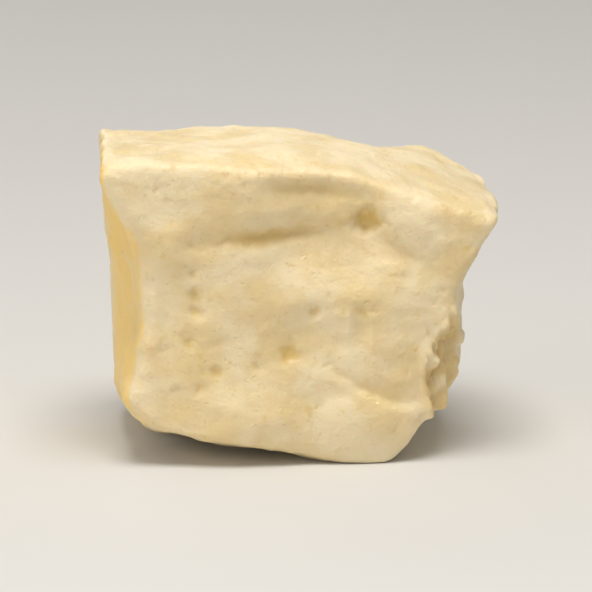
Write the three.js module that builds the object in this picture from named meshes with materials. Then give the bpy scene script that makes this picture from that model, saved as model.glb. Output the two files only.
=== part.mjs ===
// One broken chunk of white goat cheese, standing on its flat base.
// Millimetres. +Z is up, +X runs along the longest side, -Y is the broad cut face.
// The origin is the middle of the footprint, level with the base.

import * as THREE from "three";
import { mergeVertices } from "three/addons/utils/BufferGeometryUtils.js";

// Driving dimensions
const width = 52; // left ear to right ear
const depth = 40; // lip of the cut face to the back
const height = 40.5; // base to the high left end of the top
const facet = 1.75; // length of one facet's side
const cutFace = -0.93; // place of the cut face, in half depths
const rightEar = 1.015; // place of the right end, in half widths
const settled = 0.15; // whatever stays this close to the base is pressed flat on it

// Slow waves that take the flatness out of every face but the base
const waveHeight = 0.55;
const waveLength = 21;
const waveCount = 5;
const waveTurn = 0.4; // bearing of the first wave
const waveStep = 2.4; // turn from one wave to the next

// Softness of the joins
const baseRounding = 0.5; // around the foot
const overhangRounding = 1.5; // in the bend below the right ear
const rightRounding = 1.5; // where the right side meets the other faces

// A place in the chunk as shares of half the width, half the depth and the height
function at(x, y, z) {
  return new THREE.Vector3((x * width) / 2, (y * depth) / 2, z * height);
}

// A flat face from the way it looks (0 is +X, 90 is +Y), its lean above level and a point on it
function face(facing, lean, point) {
  const turn = THREE.MathUtils.degToRad(facing);
  const rise = THREE.MathUtils.degToRad(lean);
  const normal = new THREE.Vector3(
    Math.cos(rise) * Math.cos(turn),
    Math.cos(rise) * Math.sin(turn),
    Math.sin(rise),
  );
  return new THREE.Plane().setFromNormalAndCoplanarPoint(normal, point);
}

// The broken and cut faces, each with the softness of its edges
const faces = {
  topLeft: { plane: face(95, 88.5, at(-0.31, 0, 0.985)), rounding: 1 },
  rimSlope: { plane: face(-70, 72, at(-0.077, cutFace, 0.946)), rounding: 1.5 },
  topRight: { plane: face(-12, 71.7, at(0.654, -0.925, 0.845)), rounding: 2.5 },
  backTop: { plane: face(95, 50, at(0, 0.84, 0.889)), rounding: 2.5 },
  front: { plane: face(-90, 0, at(0, cutFace, 0.444)), rounding: 2 },
  frontRight: { plane: face(-81, -2, at(0.45, cutFace, 0.5)), rounding: 2 },
  left: { plane: face(180, -4.5, at(-1.02, -0.5, 0.469)), rounding: 1.2 },
  right: { plane: face(-3, 2, at(rightEar, 0, 0.741)), rounding: 0.9 },
  bottomRight: { plane: face(-5, -45, at(0.72, 0, 0.16)), rounding: 1 },
  back: { plane: face(93, -3, at(0, 0.935, 0.469)), rounding: 3 },
  backLeft: { plane: face(140, 0, at(-0.85, 0.84, 0.469)), rounding: 2 },
  backRight: { plane: face(42, -8, at(0.746, 0.77, 0.494)), rounding: 3 },
  bottomLeft: { plane: face(190, -46, at(-0.89, -0.2, 0.104)), rounding: 1.5 },
};

// The right side bends inwards: a leaning wall under the ear and a steep wall below it
const underEar = face(-3, -38, at(0.955, -0.5, 0.728));
const steepWall = face(-8, -4, at(0.805, -0.4, 0.42));

// Swellings of the cut face: one along the left of its foot, one on the cheek over the left scoop
const swellings = {
  foot: { centre: at(-0.32, -0.675, 0.125), radii: at(0.5, 0.295, 0.15), rounding: 2.5 },
  cheek: { centre: at(-0.75, -0.62, 0.72), radii: at(0.18, 0.34, 0.12), rounding: 2 },
};

// An undercut lifts the left of the foot, and a toe on the right reaches down to the base
const undercut = { plane: face(228, -75, at(0, -0.62, 0)), rounding: 0.8 };
const toe = { centre: at(0.19, -0.635, 0.115), radii: at(0.35, 0.335, 0.15), rounding: 2 };

// Egg-shaped hollows taken out of the chunk
const hollows = {
  leftScoop: { centre: at(-1.165, -0.95, 0.52), radii: at(0.27, 0.75, 0.37), rounding: 2.4 },
  rightTear: { centre: at(1, -1.125, 0.27), radii: at(0.446, 0.6, 0.285), rounding: 0.6 },
  bandUnderRim: { centre: at(0.1, -1.19, 0.72), radii: at(0.55, 0.315, 0.2), rounding: 2.5 },
  dentUnderRim: { centre: at(0.19, -1.04, 0.868), radii: at(0.45, 0.16, 0.065), rounding: 2.5 },
  faceDent: { centre: at(-0.12, -1.29, 0.4), radii: at(0.62, 0.377, 0.17), rounding: 2.5 },
  topDip: { centre: at(0.44, 0.8, 1), radii: at(0.38, 0.6, 0.115), rounding: 3 },
  backDent: { centre: at(0.154, 1.3, 0.519), radii: at(0.5, 0.45, 0.247), rounding: 2.5 },
};

// The larger of two values, with the corner between them rounded over a width k
function softMax(a, b, k) {
  const blend = Math.max(k - Math.abs(a - b), 0);
  return Math.max(a, b) + (blend * blend) / (4 * k);
}

// The smaller of two values, rounded in the same way
function softMin(a, b, k) {
  return -softMax(-a, -b, k);
}

// How far a point lies outside an egg, below zero within it
function outsideEgg(point, egg) {
  const q = point.clone().sub(egg.centre).divide(egg.radii);
  const share = q.length();
  const slope = q.divide(egg.radii).length();
  return slope > 0 ? (share * (share - 1)) / slope : -egg.radii.z;
}

// Sideways shift of the faces at a point: a sum of sine waves running in different directions
function unevenness(point) {
  const shift = new THREE.Vector3();
  for (let i = 0; i < waveCount; i += 1) {
    const turn = waveTurn + waveStep * i;
    const rise = 1.1 * i;
    const run = new THREE.Vector3(
      Math.cos(turn) * Math.cos(rise),
      Math.sin(turn) * Math.cos(rise),
      Math.sin(rise),
    );
    const sway = new THREE.Vector3(
      Math.sin(turn + 1),
      Math.cos(turn + rise),
      Math.sin(2 * rise + 0.5),
    );
    const length = waveLength * (1 + 0.23 * i);
    const wave = Math.sin((2 * Math.PI * point.dot(run)) / length + 1.7 * i);
    shift.addScaledVector(sway, (wave * waveHeight) / Math.sqrt(waveCount));
  }
  return shift;
}

// How far a point lies outside the cheese, below zero within it
function outsideCheese(point) {
  const p = unevenness(point).add(point);
  let outside = -Infinity;
  for (const { plane, rounding } of Object.values(faces)) {
    outside = softMax(outside, plane.distanceToPoint(p), rounding);
  }
  const bend = softMin(underEar.distanceToPoint(p), steepWall.distanceToPoint(p), overhangRounding);
  outside = softMax(outside, bend, rightRounding);
  for (const swelling of Object.values(swellings)) {
    outside = softMin(outside, outsideEgg(p, swelling), swelling.rounding);
  }
  outside = softMax(outside, undercut.plane.distanceToPoint(p), undercut.rounding);
  outside = softMin(outside, outsideEgg(p, toe), toe.rounding);
  for (const hollow of Object.values(hollows)) {
    outside = softMax(outside, -outsideEgg(p, hollow), hollow.rounding);
  }
  return softMax(outside, -point.z, baseRounding);
}

// The point where a ray from the heart of the chunk leaves the cheese
function skinPoint(heart, ray) {
  let near = 0;
  let far = 1.8;
  for (let i = 0; i < 44; i += 1) {
    const middle = (near + far) / 2;
    const point = heart.clone().addScaledVector(ray, middle);
    if (outsideCheese(point) < 0) {
      near = middle;
    } else {
      far = middle;
    }
  }
  return heart.clone().addScaledVector(ray, near);
}

// Height of the top faces over a place in the plan
function topHeight(x, y) {
  const over = ({ plane }) => -(plane.constant + plane.normal.x * x + plane.normal.y * y) / plane.normal.z;
  const { topLeft, rimSlope, topRight } = faces;
  const leftHeight = softMin(over(topLeft), over(rimSlope), rimSlope.rounding);
  return softMin(leftHeight, over(topRight), topRight.rounding);
}

// How far the left face stands from the middle at a height, in half widths
function leftReach(z) {
  const { normal, constant } = faces.left.plane;
  return ((constant + normal.z * z) / normal.x / width) * 2;
}

// A finely divided block, its sides set on the main faces so that facets run along the rims,
// is drawn in onto the skin and then trued to the driving dimensions
function chunkGeometry() {
  const segments = [width, depth, height].map((side) => Math.round(side / facet));
  const block = new THREE.BoxGeometry(width, depth, height, ...segments);
  block.translate(0, 0, height / 2);
  block.deleteAttribute("normal");
  block.deleteAttribute("uv");
  const skin = mergeVertices(block, 1e-4);
  const points = skin.getAttribute("position");
  const heart = at(0, 0.025, 0.444);
  const corner = new THREE.Vector3();
  for (let i = 0; i < points.count; i += 1) {
    corner.fromBufferAttribute(points, i);
    corner.y *= -cutFace;
    corner.z *= topHeight(corner.x, corner.y) / height;
    corner.x *= corner.x < 0 ? leftReach(corner.z) : rightEar;
    const point = skinPoint(heart, corner.sub(heart));
    points.setXYZ(i, point.x, point.y, point.z < settled ? 0 : point.z);
  }
  skin.computeBoundingBox();
  const size = skin.boundingBox.getSize(new THREE.Vector3());
  const middle = skin.boundingBox.getCenter(new THREE.Vector3());
  skin.translate(-middle.x, -middle.y, -skin.boundingBox.min.z);
  skin.scale(width / size.x, depth / size.y, height / size.z);
  skin.computeVertexNormals();
  return skin;
}

const cheese = new THREE.MeshStandardMaterial({
  name: "cheese",
  color: new THREE.Color().setRGB(0.83, 0.68, 0.4),
  roughness: 0.6,
  metalness: 0,
});

const chunk = new THREE.Mesh(chunkGeometry(), cheese);
chunk.name = "cheese_chunk";

const group = new THREE.Group();
group.name = "goat_cheese_chunk";
group.add(chunk);

export default group;
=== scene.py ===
import math

import bpy
import numpy as np
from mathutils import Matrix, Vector


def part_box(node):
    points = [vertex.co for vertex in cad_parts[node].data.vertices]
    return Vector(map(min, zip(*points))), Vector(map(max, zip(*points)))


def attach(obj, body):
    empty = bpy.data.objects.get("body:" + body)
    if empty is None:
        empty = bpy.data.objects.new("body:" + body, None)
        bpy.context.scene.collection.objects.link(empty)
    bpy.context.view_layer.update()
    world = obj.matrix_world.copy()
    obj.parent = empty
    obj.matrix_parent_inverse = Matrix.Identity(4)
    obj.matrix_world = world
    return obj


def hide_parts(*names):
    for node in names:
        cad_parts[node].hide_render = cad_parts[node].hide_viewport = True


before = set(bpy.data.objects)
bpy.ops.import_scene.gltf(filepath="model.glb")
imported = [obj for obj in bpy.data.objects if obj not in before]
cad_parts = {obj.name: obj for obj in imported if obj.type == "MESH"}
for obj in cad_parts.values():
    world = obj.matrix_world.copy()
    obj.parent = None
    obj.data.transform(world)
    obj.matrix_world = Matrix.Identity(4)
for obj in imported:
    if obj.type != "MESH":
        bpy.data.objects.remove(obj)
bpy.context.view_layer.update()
lowCorner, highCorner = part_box("cheese_chunk")
mm = 0.001  # shapes below are worked out in millimetres
tiny = 1e-9  # keeps divisions finite
fullSize = np.array(highCorner - lowCorner) / mm
print("frame loaded, chunk of", fullSize.round(1), "mm")

# The chunk's solid form. Places and radii are shares of half the width, half the depth and the height.
# A face is: way it looks (0 is +X, 90 is +Y), lean above level, a point on it, softness of its edges in mm.
# An egg is: centre, radii, softness of its join in mm.
chunk = {
    "cells": (168, 90, 134),  # grid cells along the width, depth and height
    "heart": (0, 0.025, 0.444),  # every ray starts here
    "reach": 1.8,  # how far a ray is followed, in distances from the heart to the block
    "halvings": 30,
    "faces": {
        "topLeft": (95, 88.5, (-0.31, 0, 0.985), 1),
        "rimSlope": (-70, 72, (-0.077, -0.93, 0.946), 1.5),
        "topRight": (-12, 71.7, (0.654, -0.925, 0.845), 2.5),
        "backTop": (95, 50, (0, 0.84, 0.889), 2.5),
        "front": (-90, 0, (0, -0.93, 0.444), 2),
        "frontRight": (-81, -2, (0.45, -0.93, 0.5), 2),
        "left": (180, -4.5, (-1.02, -0.5, 0.469), 1.2),
        "right": (-3, 2, (1.015, 0, 0.741), 0.9),
        "bottomRight": (-5, -45, (0.72, 0, 0.16), 1),
        "back": (93, -3, (0, 0.935, 0.469), 3),
        "backLeft": (140, 0, (-0.85, 0.84, 0.469), 2),
        "backRight": (42, -8, (0.746, 0.77, 0.494), 3),
        "bottomLeft": (190, -46, (-0.89, -0.2, 0.104), 1.5),
    },
    "underEar": (-3, -38, (0.955, -0.5, 0.728)),  # leaning wall below the right ear
    "steepWall": (-8, -4, (0.805, -0.4, 0.42)),  # the wall it bends into
    "bendSoft": 1.5,  # in the bend between those two
    "rightSoft": 1.5,  # where they meet the other faces
    "lips": {  # swellings of the cut face
        "left": ((-0.32, -0.675, 0.125), (0.5, 0.295, 0.15), 2.5),
        "cheek": ((-0.75, -0.62, 0.72), (0.18, 0.34, 0.12), 2),
    },
    "undercut": (228, -75, (0, -0.62, 0), 0.8),  # lifts the left end of the foot
    "toe": ((0.19, -0.635, 0.115), (0.35, 0.335, 0.15), 2),  # right end of the foot, down to the base
    "hollows": {
        "leftScoop": ((-1.165, -0.95, 0.52), (0.27, 0.75, 0.37), 2.4),
        "rightTear": ((1, -1.125, 0.27), (0.446, 0.6, 0.285), 0.6),
        "bandUnderRim": ((0.1, -1.19, 0.72), (0.55, 0.315, 0.2), 2.5),
        "dentUnderRim": ((0.19, -1.04, 0.868), (0.45, 0.16, 0.065), 2.5),
        "faceDent": ((-0.12, -1.29, 0.4), (0.62, 0.377, 0.17), 2.5),
        "topDip": ((0.44, 0.8, 1), (0.38, 0.6, 0.115), 3),
        "backDent": ((0.154, 1.3, 0.519), (0.5, 0.45, 0.247), 2.5),
    },
    "footSoft": 0.5,
    "wave": {"height": 0.55, "length": 21, "growth": 0.23, "count": 5},  # each wave is longer by the growth
    "waveTurn": (0.4, 2.4),  # bearing of the first wave and the turn to the next, in radians
    "waveRise": 1.1,
    "wavePhase": 1.7,
}


# a place in mm: the shares times half the width, half the depth and the height
def place(share):
    return np.array(share, float) * fullSize * (0.5, 0.5, 1)


# larger of two values, its corner rounded: the maximum plus (k - gap) squared over 4k within the width k
def softMax(a, b, k):
    blend = np.maximum(k - np.abs(a - b), 0)
    return np.maximum(a, b) + blend**2 / (4 * k)


# smaller of two values, rounded the same way
def softMin(a, b, k):
    return -softMax(-a, -b, k)


# 0 at a, 1 at b, and 3t squared minus 2t cubed between
def smoothStep(a, b, x):
    t = np.clip((x - a) / (b - a), 0, 1)
    return t * t * (3 - 2 * t)


# unit vector from a bearing and a lean: cos lean times cos and sin of the bearing, and sin lean
def faceNormal(facing, lean):
    turn, rise = math.radians(facing), math.radians(lean)
    return np.array([math.cos(rise) * math.cos(turn), math.cos(rise) * math.sin(turn), math.sin(rise)])


# distance beyond a flat face: (p - point) along its normal
def beyondFace(p, facing, lean, point):
    return (p - place(point)) @ faceNormal(facing, lean)


# distance outside an egg: s (s - 1) / slope, with s the length of (p - centre) / radii
def outsideEgg(p, centre, radii):
    q = (p - place(centre)) / place(radii)
    share = np.linalg.norm(q, axis=1)
    slope = np.linalg.norm(q / place(radii), axis=1)
    return share * (share - 1) / np.maximum(slope, tiny)


# slow sideways sway: sines of the distance along five directions, each pushing its own way
def unevenness(p):
    wave, (firstTurn, nextTurn) = chunk["wave"], chunk["waveTurn"]
    sway = np.zeros_like(p)
    for i in range(wave["count"]):
        turn, rise = firstTurn + nextTurn * i, chunk["waveRise"] * i
        run = faceNormal(math.degrees(turn), math.degrees(rise))
        push = np.array([math.sin(turn + 1), math.cos(turn + rise), math.sin(2 * rise + 0.5)])
        length = wave["length"] * (1 + wave["growth"] * i)
        phase = 2 * math.pi * (p @ run) / length + chunk["wavePhase"] * i
        sway += np.sin(phase)[:, None] * push * wave["height"] / math.sqrt(wave["count"])
    return sway


# distance outside the cheese: soft maximum of the faces and of the bend on the right, soft minimum with the
# lips, cut by the undercut, soft minimum with the toe, less the hollows, and cut level at the base
def outsideCheese(p):
    q = p + unevenness(p)
    outside = np.full(len(p), -np.inf)
    for *face, soft in chunk["faces"].values():
        outside = softMax(outside, beyondFace(q, *face), soft)
    underEar, steepWall = beyondFace(q, *chunk["underEar"]), beyondFace(q, *chunk["steepWall"])
    outside = softMax(outside, softMin(underEar, steepWall, chunk["bendSoft"]), chunk["rightSoft"])
    for *lip, soft in chunk["lips"].values():
        outside = softMin(outside, outsideEgg(q, *lip), soft)
    *undercut, soft = chunk["undercut"]
    outside = softMax(outside, beyondFace(q, *undercut), soft)
    *toe, soft = chunk["toe"]
    outside = softMin(outside, outsideEgg(q, *toe), soft)
    for *hollow, soft in chunk["hollows"].values():
        outside = softMax(outside, -outsideEgg(q, *hollow), soft)
    return softMax(outside, -p[:, 2], chunk["footSoft"])


# height of the two top faces over a place in the plan: each gives its point's z less the run along its
# normal's x and y over the normal's z, and the soft minimum is taken
def topHeight(x, y):
    heights = []
    for name in ("topLeft", "topRight"):
        facing, lean, point, soft = chunk["faces"][name]
        normal, point = faceNormal(facing, lean), place(point)
        heights.append(point[2] - (normal[0] * (x - point[0]) + normal[1] * (y - point[1])) / normal[2])
    return softMin(*heights, soft)  # the right face's softness rounds the ridge


# six grids, one on each side of a block, welded where they meet; u and v run along each side
def blockGrid():
    low, high = place((-1, -1, 0)), place((1, 1, 1))
    points, quads, start = [], [], 0
    for axis in range(3):
        u, v = [i for i in range(3) if i != axis]
        for end in (low, high):
            lines = [np.linspace(low[i], high[i], chunk["cells"][i] + 1) for i in (u, v)]
            grid = np.empty((len(lines[0]), len(lines[1]), 3))
            grid[..., u], grid[..., v] = np.meshgrid(*lines, indexing="ij")
            grid[..., axis] = end[axis]
            index = start + np.arange(grid[..., 0].size).reshape(grid.shape[:2])
            side = np.stack([index[:-1, :-1], index[1:, :-1], index[1:, 1:], index[:-1, 1:]], -1)
            side = side.reshape(-1, 4)
            quads.append(side if (end is high) ^ (axis == 1) else side[:, ::-1])  # all look outwards
            points.append(grid.reshape(-1, 3))
            start += len(points[-1])
    points, welded = np.unique(np.concatenate(points).round(6), axis=0, return_inverse=True)
    return points, welded.reshape(-1)[np.concatenate(quads)]


# the block's points slide along rays from the heart until the distance outside the cheese is nought,
# halving the span each time; the corners of the skin's own box come back with it
def chunkSkin():
    points, quads = blockGrid()
    points[:, 2] *= topHeight(points[:, 0], points[:, 1]) / fullSize[2]
    heart = place(chunk["heart"])
    ray = points - heart
    near, far = np.zeros(len(ray)), np.full(len(ray), chunk["reach"])
    for halving in range(chunk["halvings"]):
        middle = (near + far) / 2
        within = outsideCheese(heart + ray * middle[:, None]) < 0
        near, far = np.where(within, middle, near), np.where(within, far, middle)
    skin = heart + ray * near[:, None]
    return skin, quads, skin.min(0), skin.max(0)


# each point's outward normal: the sum of the cross products of the diagonals of the faces round it
def skinNormals(points, quads):
    corners = points[quads]
    cross = np.cross(corners[:, 2] - corners[:, 0], corners[:, 3] - corners[:, 1])
    total = [np.bincount(quads.ravel(), np.repeat(cross[:, i], 4), len(points)) for i in range(3)]
    total = np.stack(total, 1)
    return total / np.maximum(np.linalg.norm(total, axis=1, keepdims=True), tiny)


# smooth random field: seeded heights on a cubic lattice, blended by 6t^5 - 15t^4 + 10t^3
def curdNoise(p, cell, seed):
    side = 40  # lattice points before the field repeats
    lattice = np.random.default_rng(seed).uniform(-1, 1, (side, side, side))
    q = p / cell + 10 * side
    i = np.floor(q).astype(int)
    t = q - i
    t = t**3 * (t * (6 * t - 15) + 10)
    total = np.zeros(len(p))
    for corner in np.ndindex(2, 2, 2):
        j = (i + corner) % side
        total += np.prod(np.where(corner, t, 1 - t), axis=1) * lattice[j[:, 0], j[:, 1], j[:, 2]]
    return total


# layers of that field, each half as wide and half as high as the one before
def curdLayers(p, cell, seed, layers=3):
    return sum(curdNoise(p, cell / 2**k, seed + k) / 2**k for k in range(layers))


# gap between the nearest and the second nearest of a scatter of curd centres, small along the seams
def curdSeams(p, cell, seed):
    side = 24
    jitter = np.random.default_rng(seed).uniform(0.1, 0.9, (side, side, side, 3))
    q = p / cell + 10 * side
    i = np.floor(q).astype(int)
    nearest, second = np.full(len(p), np.inf), np.full(len(p), np.inf)
    for step in np.ndindex(3, 3, 3):
        j = i + step - 1
        k = j % side
        gap = np.linalg.norm(j + jitter[k[:, 0], k[:, 1], k[:, 2]] - q, axis=1)
        second = np.minimum(second, np.maximum(gap, nearest))
        nearest = np.minimum(nearest, gap)
    return (second - nearest) * cell


# bell round nought: e to the minus square of x, or of the length of x where it has columns
def bell(x):
    return np.exp(-(x**2 if x.ndim == 1 else (x**2).sum(1)))


# how far places on the face lie from a stroke: the height below the polynomial through its points, and the
# straight distance past its ends; along runs from 0 to 1 across it
def strokeDistance(face, path):
    x, z = np.array(path, float).T
    across = np.clip(face[:, 0], x[0], x[-1])
    below = np.polyval(np.polyfit(x, z, len(path) - 1), across) - face[:, 1]
    return np.hypot(below, face[:, 0] - across), below, (across - x[0]) / (x[-1] - x[0])


skin, quads, lowest, highest = chunkSkin()
print("skin found:", len(skin), "points,", 2 * len(quads), "triangles")

# Relief on the skin, in mm. Places on the cut face are x and z from the middle of the base. Cell is the size
# of a random field, stray how much it adds, and limits say where an effect starts and where it is full.
relief = {
    "seed": 17,
    "edge": {"probe": 2.2, "limits": (0.25, 1)},  # depth of the probe, and how much less deep it ends
    "cut": {"facing": (0.35, 0.8), "forward": (8, 12)},  # the cut face looks to -Y and lies in front
    "top": {"facing": (0.5, 0.9)},
    "swell": {"cell": 6, "height": 0.42, "calmOnCut": 0.7, "calmOnTop": 0.4},
    "streaks": {"cell": 3.2, "height": 0.17, "squeeze": (0.42, 0.8, 1)},  # they run along the width
    "lumps": {"cell": 2.2, "height": 0.07},
    "grain": {"cell": 0.9, "height": 0.04},
    # the seams' tint is painted shade in the grooves between the curds
    "seams": {"curd": 8, "width": 0.7, "depth": 0.07, "tint": 0.2, "cell": 11, "limits": (-0.1, 0.5)},
    "shake": {"cell": 1.6, "strokes": 0.22, "pit": 0.5},  # so that nothing drawn on the face is straight
    "strokes": {  # path, reach above and below it, depth of the groove, swelling below it, depth of the slit
        "valley": ([(-10, 28.6), (-3, 28.8), (4, 28.6), (10, 28.2), (15, 27.6)], (6, 4.5), 0.6, 0, 0),
        "crease": ([(-16, 29.2), (-10, 29.5), (-4, 29.8), (4, 30.5)], (2.4, 1.8), 0.6, 0, 0.55),
        "tail": ([(5, 31), (10, 28.6), (18, 24.8)], (2.8, 3), 0.6, 0, 0.24),
        "dimple": ([(5, 18.4), (8, 17.7)], (2.2, 3), 0.7, 0, 0.08),
        "upperCrease": ([(-7.9, 36.5), (0.5, 35.6), (8.9, 34.6)], (1.2, 0.8), 0.5, 0.1, 0),
        "fold": ([(0.9, 13), (4.8, 11.4), (8.9, 9.4), (15.3, 8.9)], (1.4, 0.9), 0.2, 0.45, 0),
    },
    "strokeEnds": {"least": 0.02, "power": 0.6},  # a stroke fades as the sine of its length to this power
    "strokeSwell": {"rise": (0, 1.6), "reach": (7, 1.5)},
    "slit": {"width": 0.9, "shadeWidth": 1.44, "shade": 1.5},
    "grooveShade": 0.42,  # how much painted shade the open grooves carry
    "pit": {"at": (7.3, 31.9), "radii": (2.3, 1.6), "depth": 1.4},
    "cutPores": [  # x, z, radius
        (-3.1, 14.6, 1.15), (-2.9, 16, 0.7), (0.2, 20.1, 0.85), (6.7, 20.1, 0.8), (-13.1, 12.6, 0.9),
        (-15.4, 10.3, 0.8), (-16.8, 16.4, 0.9), (-15.5, 20.2, 0.9), (-15.8, 22.5, 0.9), (-16.3, 25.4, 0.8),
        (-16.3, 29, 0.6), (-21.1, 36.6, 0.6), (-19.5, 35, 0.6), (-7.4, 13, 0.7),
    ],
    "cutPoreFacing": 0.6,  # how much the place of such a pore looks to the front
    # the shade depth is how far a pore must sink for its painted shade to be full
    "pores": {"count": 260, "small": 0.24, "large": 0.6, "rarity": 3, "sink": 0.42, "shadeDepth": 0.55},
    "poreShape": {"cell": 0.9, "stray": 0.3, "stretch": 0.6, "end": 3},
    "broken": {"cell": 4.2, "height": 0.42, "level": 0.4, "seam": 0.3},  # the back, where it was broken off
    "brokenEdge": {"cell": 9, "stray": 0.25, "limits": (0.35, 0.75)},
    # painted shade in the low places between the granules of the broken back
    "brokenHollowShade": {"most": 0.5, "limits": (0.1, -0.7)},
    "tear": {"grow": 1.5, "facing": (0.2, 0.7), "cell": 2.4, "depth": 0.7, "level": 0.55},
    "tearGrain": {"upright": 0.4, "slant": 0.2},
    # painted shade in the hollows of the tear
    "tearHollowShade": {"most": 0.7, "limits": (0.4, 0)},
    "shreds": [  # x, z, half width, half height and thickness of the pale shreds that hang on the tear
        (15.8, 13.5, 1, 1.6, 1), (16.8, 10, 0.8, 1.3, 0.8), (20.6, 14.8, 0.9, 0.9, 0.8),
    ],
    "shredForward": (-7, -9),
    "chips": {"cell": 2.8, "depth": 0.22, "limits": (0.05, 0.6)},
    "foot": {"limits": (0, 2.5), "least": 0.12, "sink": 0.02},  # the base stays nearly flat
    "pressed": {"cell": 6, "stray": 0.2, "limits": (0.55, 1.05), "stale": 0.25},  # the smooth left flank; its colour is partly its own and partly painted warm bounce light
    "fresh": {"cell": 9, "stray": 5, "limits": (14, -14)},  # its smoothness fades towards the back
}


# masks from 0 to 1: edges, where a probe straight in ends less deep, the cut face, the top and the tear
def skinMasks(points, normal):
    probe, tear = relief["edge"]["probe"], relief["tear"]
    shallow = outsideCheese(points - probe * normal) + probe
    edge = smoothStep(*relief["edge"]["limits"], shallow)
    cut = smoothStep(*relief["cut"]["facing"], -normal[:, 1])
    cut *= smoothStep(*relief["cut"]["forward"], -points[:, 1])
    top = smoothStep(*relief["top"]["facing"], normal[:, 2])
    centre, radii = chunk["hollows"]["rightTear"][:2]
    torn = smoothStep(0, 1, 1 - outsideEgg(points, centre, radii) / tear["grow"])
    return edge, cut, top, torn * smoothStep(*tear["facing"], normal[:, 0])


# x and z of each point, swayed by a layered field; the sway comes back as well
def shakenFace(points):
    cell, seed = relief["shake"]["cell"], relief["seed"]
    sway = np.stack([curdLayers(points, cell, seed + 40), curdLayers(points, cell, seed + 45)], 1)
    return points[:, [0, 2]] + relief["shake"]["strokes"] * sway, sway


# curd all over: layered swellings, streaks, lumps and grain, less a bell-shaped groove along the seams
def curdRelief(points, cut, top):
    swell, streaks, lumps = relief["swell"], relief["streaks"], relief["lumps"]
    seed, grain, seams = relief["seed"], relief["grain"], relief["seams"]
    out = swell["height"] * curdLayers(points, swell["cell"], seed)
    out *= (1 - swell["calmOnCut"] * cut) * (1 - swell["calmOnTop"] * top)
    out += streaks["height"] * curdLayers(points * streaks["squeeze"], streaks["cell"], seed + 5, 2)
    out += lumps["height"] * curdLayers(points, lumps["cell"], seed + 10, 2)
    out += grain["height"] * curdNoise(points, grain["cell"], seed + 20)
    seam = bell(curdSeams(points, seams["curd"], seed + 30) / seams["width"])
    seam *= smoothStep(*seams["limits"], curdNoise(points, seams["cell"], seed + 31))
    return out - seams["depth"] * seam, seam


# strokes on the cut face: a bell-shaped groove with its own reach above and below, a narrower slit and a
# swelling on the lower side, all fading to the ends; and the pit, a bell too. With the painted shade in and
# around them
def cutRelief(face, sway, cut):
    ends, rising, slits, pit = relief["strokeEnds"], relief["strokeSwell"], relief["slit"], relief["pit"]
    hole = bell((face + relief["shake"]["pit"] * sway - pit["at"]) / pit["radii"]) * cut
    out, creviceShade = -pit["depth"] * hole, hole
    for path, (above, under), depth, swell, slit in relief["strokes"].values():
        gap, below, along = strokeDistance(face, path)
        inner = np.clip(along, ends["least"], 1 - ends["least"])
        fade = np.sin(math.pi * inner) ** ends["power"] * cut
        groove = bell(gap / np.where(below > 0, under, above)) * fade
        out += swell * fade * smoothStep(*rising["rise"], below) * smoothStep(*rising["reach"], gap)
        out -= depth * groove + slit * bell(gap / slits["width"]) * fade
        shade = bell(gap / slits["shadeWidth"]) * fade * min(1, slits["shade"] * slit)
        creviceShade = np.maximum(creviceShade, np.maximum(shade, relief["grooveShade"] * groove))
    return out, creviceShade


# broken back: granules of 1 minus twice the size of a layered field, with the seams cut deeper
def backRelief(points, normal, seam):
    broken, border, tint = relief["broken"], relief["brokenEdge"], relief["brokenHollowShade"]
    seed = relief["seed"]
    back = normal[:, 1] + border["stray"] * curdNoise(points, border["cell"], seed + 35)
    back = smoothStep(*border["limits"], back)
    granules = 1 - 2 * np.abs(curdLayers(points, broken["cell"], seed + 36))
    out = back * (broken["height"] * (granules - broken["level"]) - broken["seam"] * seam)
    # and painted shade where the granules lie low
    return out, tint["most"] * back * smoothStep(*tint["limits"], granules)


# tear: twice the size of a layered field drawn out upright and slanted, with bell-shaped shreds on it
def tearRelief(points, face, torn):
    tear, grain, tint = relief["tear"], relief["tearGrain"], relief["tearHollowShade"]
    upright = points * (1, 1, grain["upright"]) + points[:, [2]] * (grain["slant"], 0, 0)
    ragged = 2 * np.abs(curdLayers(upright, tear["cell"], relief["seed"] + 50))
    out = tear["depth"] * torn * (ragged - tear["level"])
    front = smoothStep(*relief["shredForward"], points[:, 1])
    shreds = np.zeros(len(points))
    for x, z, wide, high, thick in relief["shreds"]:
        shred = bell((face - (x, z)) / (wide, high)) * front
        out += thick * shred
        shreds = np.maximum(shreds, shred)
    # and painted shade in the tear's hollows, with the shreds left bare of it
    return out, tint["most"] * torn * smoothStep(*tint["limits"], ragged), shreds


# smooth pressed flank: how much a point looks to the left, with a stray border, fading towards the back. Its
# colour is partly its own and partly painted warm bounce light
def pressedFlankAndBounce(points, normal):
    pressed, fresh, seed = relief["pressed"], relief["fresh"], relief["seed"]
    forward = points[:, 1] + fresh["stray"] * curdNoise(points, fresh["cell"], seed + 65)
    forward = smoothStep(*fresh["limits"], forward)
    left = -normal[:, 0] + pressed["stray"] * curdLayers(points, pressed["cell"], seed + 66)
    return smoothStep(*pressed["limits"], left) * (pressed["stale"] + (1 - pressed["stale"]) * forward)


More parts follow.
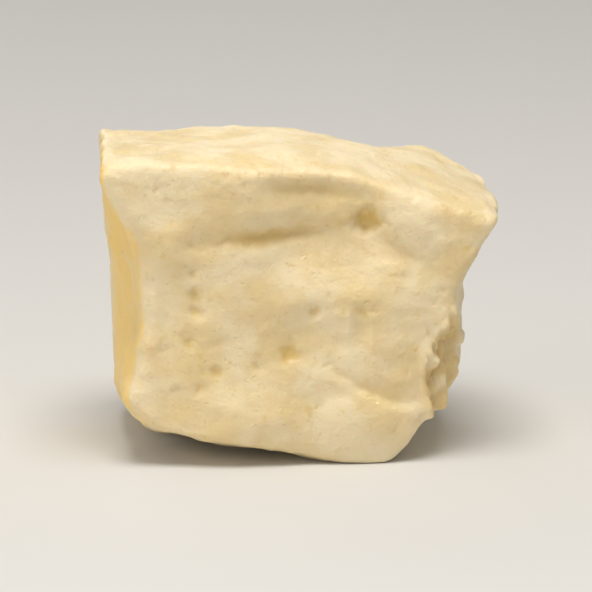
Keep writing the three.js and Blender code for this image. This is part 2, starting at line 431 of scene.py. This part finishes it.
# the sum of all relief moves each point along its normal, less near the base, and chips nibble the edges;
# returns the moved points, the painted crevice shade, the torn mask (painted shade), the edge mask and the
# pressed flank mask (partly painted bounce light)
def reliefOf(points, quads):
    normal = skinNormals(points, quads)
    edge, cut, top, torn = skinMasks(points, normal)
    face, sway = shakenFace(points)
    out, seam = curdRelief(points, cut, top)
    drawn, strokeShade = cutRelief(face, sway, cut)
    broken, brokenShade = backRelief(points, normal, seam)
    ragged, tearShade, shreds = tearRelief(points, face, torn)
    chips, foot = relief["chips"], relief["foot"]
    nibble = smoothStep(*chips["limits"], curdLayers(points, chips["cell"], relief["seed"] + 60))
    out += drawn + broken + ragged - chips["depth"] * edge * nibble
    free = foot["least"] + (1 - foot["least"]) * smoothStep(*foot["limits"], points[:, 2])
    moved = points + normal * (out * free - foot["sink"])[:, None]
    # painted shade gathered from the seams, the strokes and the pit, the broken back and the tear
    creviceShade = np.maximum.reduce([relief["seams"]["tint"] * seam, strokeShade, brokenShade, tearShade])
    bare = 1 - shreds
    return moved, creviceShade * bare, torn * bare, np.maximum(edge, shreds), pressedFlankAndBounce(points, normal)


# open pores: each sinks the skin by a share of its radius times a bell of the distance over the radius; the
# distance is shortened along one random way and made ragged by a field
def sinkPores(points, quads, creviceShade):
    normal = skinNormals(points, quads)
    pores, shape, seed = relief["pores"], relief["poreShape"], relief["seed"]
    pick = np.random.default_rng(seed + 70)
    seats = points[pick.integers(0, len(points), pores["count"])]
    growth = pick.uniform(0, 1, len(seats)) ** pores["rarity"]
    radii = pores["small"] + (pores["large"] - pores["small"]) * growth
    named = np.array(relief["cutPores"])
    aside = np.where(normal[:, 1] < -relief["cutPoreFacing"], 0, np.inf)
    near = [np.argmin(np.hypot(points[:, 0] - x, points[:, 2] - z) + aside) for x, z in named[:, :2]]
    seats, radii = np.concatenate([seats, points[near]]), np.concatenate([radii, named[:, 2]])
    ways = pick.normal(0, 1, (len(seats), 3))
    ways /= np.linalg.norm(ways, axis=1, keepdims=True)
    wobble = [curdNoise(points, shape["cell"], seed + 80 + axis) for axis in range(3)]
    ragged = points + shape["stray"] * np.stack(wobble, 1)
    sunk = np.zeros(len(points))
    for seat, radius, way in zip(seats, radii, ways):
        away = ragged - seat
        squared = (away**2).sum(1) - shape["stretch"] * (away @ way) ** 2
        gap = np.sqrt(np.maximum(squared, 0)) / radius
        sunk = np.maximum(sunk, pores["sink"] * radius * bell(gap) * (gap < shape["end"]))
    # each pore's sinking also paints shade into the colour
    return points - normal * sunk[:, None], np.maximum(creviceShade, np.clip(sunk / pores["shadeDepth"], 0, 1))


# the skin's own box is moved and stretched onto the CAD solid's box, in metres
def trueToFrame(points):
    middle, base = np.array((0.5, 0.5, 0)), np.array((0, 0, 1))
    settled = (points - (lowest + highest) * middle - lowest * base) * fullSize / (highest - lowest)
    return settled * mm + np.array(lowCorner + highCorner) * middle + np.array(lowCorner) * base


skin, creviceShade, torn, edge, pressedAndBounce = reliefOf(skin, quads)
skin, creviceShade = sinkPores(skin, quads, creviceShade)
skin[:, 2] = np.maximum(skin[:, 2], 0)
skin = trueToFrame(skin)
print("relief raised, deepest crevice", creviceShade.max().round(2))

cheeseMesh = bpy.data.meshes.new("cheese_skin")
cheeseMesh.from_pydata(skin, [], quads)
cheeseMesh.polygons.foreach_set("use_smooth", np.ones(len(quads), bool))
# crevice and torn carry painted shade; the pressed flank mark is partly painted warm bounce light
for name, values in (("creviceShade", creviceShade), ("torn", torn), ("edge", edge), ("pressedAndBounce", pressedAndBounce)):
    cheeseMesh.attributes.new(name, "FLOAT", "POINT").data.foreach_set("value", values.astype(np.float32))
cheese = bpy.data.objects.new("cheese_skin", cheeseMesh)
bpy.context.scene.collection.objects.link(cheese)

# Colours and finish of the curd. Sizes of patterns in mm, limits as in the relief.
curd = {
    "ivory": (0.79, 0.625, 0.335),
    "cream": (0.845, 0.715, 0.47),
    "dry": (0.88, 0.76, 0.52),  # rubbed edges
    "butterAndBounce": (0.93, 0.64, 0.19),  # the smooth pressed flank, partly its own yellow and partly painted warm bounce light
    "freckleAndShade": (0.66, 0.44, 0.1),  # freckles, and painted shade inside creases, pores, the tear and the broken back
    "mottle": {"size": 7, "detail": 4, "limits": (0.36, 0.64)},
    "freckle": {"size": 1.6, "detail": 3, "limits": (0.58, 0.75), "most": 0.35},
    # pinholes darken the colour where the bump sinks: painted shade
    "pinhole": {"size": 0.9, "detail": 1, "limits": (0.64, 0.8), "depth": 0.6, "most": 0.35},
    "grain": {"size": 0.55, "detail": 4},
    "patternRoughness": 0.55,
    "marks": [  # the skin's own mark, where it starts to show, how much of which colour it brings
        ("edge", 0.1, 0.3, "dry"),
        # the pressed flank: partly its own yellow, partly painted warm bounce light
        ("pressedAndBounce", 0, 0.9, "butterAndBounce"),
        # painted shade on the tear, which faces away from the light
        ("torn", 0, 0.4, "freckleAndShade"),
        # painted shade in crevices, pores and the pit
        ("creviceShade", 0.1, 0.75, "freckleAndShade"),
    ],
    "moist": 0.36,  # roughness of the wet patches
    "matt": 0.56,
    "moistLimits": (0.35, 0.65),
    "bump": {"strength": 0.5, "height": 0.25},
    "glow": {"weight": 0.4, "radius": (1, 0.62, 0.28), "scale": 1.2},  # light that passes under the skin
    "specular": 0.5,
}


# a new node with its inputs, or else its settings, filled in by name
def addNode(tree, kind, **values):
    node = tree.nodes.new(kind)
    for name, value in values.items():
        if name in node.inputs:
            node.inputs[name].default_value = value
        else:
            setattr(node, name, value)
    return node


# two colours mixed by a factor, each a socket or a plain colour
def mixColour(tree, factor, first, second):
    mix = addNode(tree, "ShaderNodeMix", data_type="RGBA")
    for socket, value in zip((mix.inputs[0], mix.inputs[6], mix.inputs[7]), (factor, first, second)):
        if isinstance(value, bpy.types.NodeSocket):
            tree.links.new(value, socket)
        else:
            socket.default_value = (*value, 1)
    return mix.outputs[2]


# a value carried smoothly from one span to another
def remap(tree, value, low, high, newLow, newHigh):
    span = addNode(tree, "ShaderNodeMapRange", interpolation_type="SMOOTHSTEP")
    tree.links.new(value, span.inputs["Value"])
    for name, number in zip(("From Min", "From Max", "To Min", "To Max"), (low, high, newLow, newHigh)):
        span.inputs[name].default_value = number
    return span.outputs["Result"]


def cheeseMaterial():
    material = bpy.data.materials.new("cheese")
    material.use_nodes = True
    tree = material.node_tree
    shader = tree.nodes["Principled BSDF"]
    where = addNode(tree, "ShaderNodeTexCoord").outputs["Object"]

    def pattern(name):
        noise = addNode(tree, "ShaderNodeTexNoise", Scale=1 / (curd[name]["size"] * mm))
        noise.inputs["Detail"].default_value = curd[name]["detail"]
        noise.inputs["Roughness"].default_value = curd["patternRoughness"]
        tree.links.new(where, noise.inputs["Vector"])
        return noise.outputs["Fac"]

    mottle, freckle, grain = pattern("mottle"), pattern("freckle"), pattern("grain")
    pinholes = remap(tree, pattern("pinhole"), *curd["pinhole"]["limits"], 0, curd["pinhole"]["depth"])
    patches = remap(tree, mottle, *curd["mottle"]["limits"], 0, 1)
    colour = mixColour(tree, patches, curd["ivory"], curd["cream"])
    freckles = remap(tree, freckle, *curd["freckle"]["limits"], 0, curd["freckle"]["most"])
    colour = mixColour(tree, freckles, colour, curd["freckleAndShade"])
    # pinholes take the warm colour as painted shade
    colour = mixColour(tree, remap(tree, pinholes, 0, 1, 0, curd["pinhole"]["most"]), colour, curd["freckleAndShade"])
    for mark, start, most, tint in curd["marks"]:
        strength = addNode(tree, "ShaderNodeAttribute", attribute_name=mark).outputs["Fac"]
        colour = mixColour(tree, remap(tree, strength, start, 1, 0, most), colour, curd[tint])
    tree.links.new(colour, shader.inputs["Base Color"])
    shine = remap(tree, mottle, *curd["moistLimits"], curd["moist"], curd["matt"])
    tree.links.new(shine, shader.inputs["Roughness"])

    bump = addNode(tree, "ShaderNodeBump", Strength=curd["bump"]["strength"])
    bump.inputs["Distance"].default_value = curd["bump"]["height"] * mm
    height = addNode(tree, "ShaderNodeMath", operation="SUBTRACT")
    tree.links.new(grain, height.inputs[0])
    tree.links.new(pinholes, height.inputs[1])
    tree.links.new(height.outputs[0], bump.inputs["Height"])
    tree.links.new(bump.outputs["Normal"], shader.inputs["Normal"])
    shader.inputs["Subsurface Weight"].default_value = curd["glow"]["weight"]
    shader.inputs["Subsurface Radius"].default_value = curd["glow"]["radius"]
    shader.inputs["Subsurface Scale"].default_value = curd["glow"]["scale"] * mm
    shader.inputs["Specular IOR Level"].default_value = curd["specular"]
    return material


cheeseMesh.materials.append(cheeseMaterial())
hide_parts("cheese_chunk")
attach(cheese, "root")
print("cheese dressed")

# Pale floor, soft light from above and a long lens close to the cut face's own level. Metres and degrees.
studio = {
    "floorSide": 4,
    "floorColour": (0.66, 0.65, 0.63),
    "floorRoughness": 0.9,
    "sky": (1, 0.98, 0.95),
    "skyStrength": 0.38,
    "key": {"at": (0, -0.17, 0.6), "side": 0.32, "watts": 3.1, "colour": (1, 0.96, 0.9)},
    "fill": {"at": (-0.62, -0.45, 0.26), "side": 0.5, "watts": 1.3, "colour": (1, 0.98, 0.95)},
    "back": {"at": (-0.3, 0.75, 0.42), "side": 0.5, "watts": 0.8, "colour": (1, 0.98, 0.95)},
    "azimuth": -4,
    "elevation": 12,
    "distance": 0.75,
    "lens": 346,
    "sensor": 36,
    "clipStart": 0.01,
    "aim": (0.0003, 0, 0.0185),
}


# lamps and the camera look along their own -Z
def placeFacing(thing, at, aim):
    thing.location = at
    thing.rotation_euler = (Vector(aim) - Vector(at)).to_track_quat("-Z", "Y").to_euler()
    bpy.context.scene.collection.objects.link(thing)


def layFloor():
    half = studio["floorSide"] / 2
    mesh = bpy.data.meshes.new("floor")
    corners = [(-half, -half, 0), (half, -half, 0), (half, half, 0), (-half, half, 0)]
    mesh.from_pydata(corners, [], [(0, 1, 2, 3)])
    material = bpy.data.materials.new("floor_paper")
    material.use_nodes = True
    shader = material.node_tree.nodes["Principled BSDF"]
    shader.inputs["Base Color"].default_value = (*studio["floorColour"], 1)
    shader.inputs["Roughness"].default_value = studio["floorRoughness"]
    mesh.materials.append(material)
    floor = bpy.data.objects.new("floor", mesh)
    bpy.context.scene.collection.objects.link(floor)


def hangLights():
    for name in ("key", "fill", "back"):
        light = studio[name]
        lamp = bpy.data.lights.new(name + "_light", "AREA")
        lamp.size, lamp.energy, lamp.color = light["side"], light["watts"], light["colour"]
        placeFacing(bpy.data.objects.new(name + "_light", lamp), light["at"], studio["aim"])
    world = bpy.data.worlds.new("studio")
    world.use_nodes = True
    sky = world.node_tree.nodes["Background"]
    sky.inputs["Color"].default_value = (*studio["sky"], 1)
    sky.inputs["Strength"].default_value = studio["skyStrength"]
    bpy.context.scene.world = world
    bpy.context.scene.view_settings.view_transform = "Standard"


# the camera stands back from the aim by the distance, at the azimuth and elevation
def setCamera():
    turn, rise = math.radians(studio["azimuth"]), math.radians(studio["elevation"])
    back = Vector((math.sin(turn) * math.cos(rise), -math.cos(turn) * math.cos(rise), math.sin(rise)))
    camera = bpy.data.cameras.new("camera")
    camera.lens, camera.sensor_width = studio["lens"], studio["sensor"]
    camera.clip_start = studio["clipStart"]
    standing = bpy.data.objects.new("camera", camera)
    placeFacing(standing, Vector(studio["aim"]) + studio["distance"] * back, studio["aim"])
    bpy.context.scene.camera = standing


layFloor()
hangLights()
setCamera()
print("studio set")
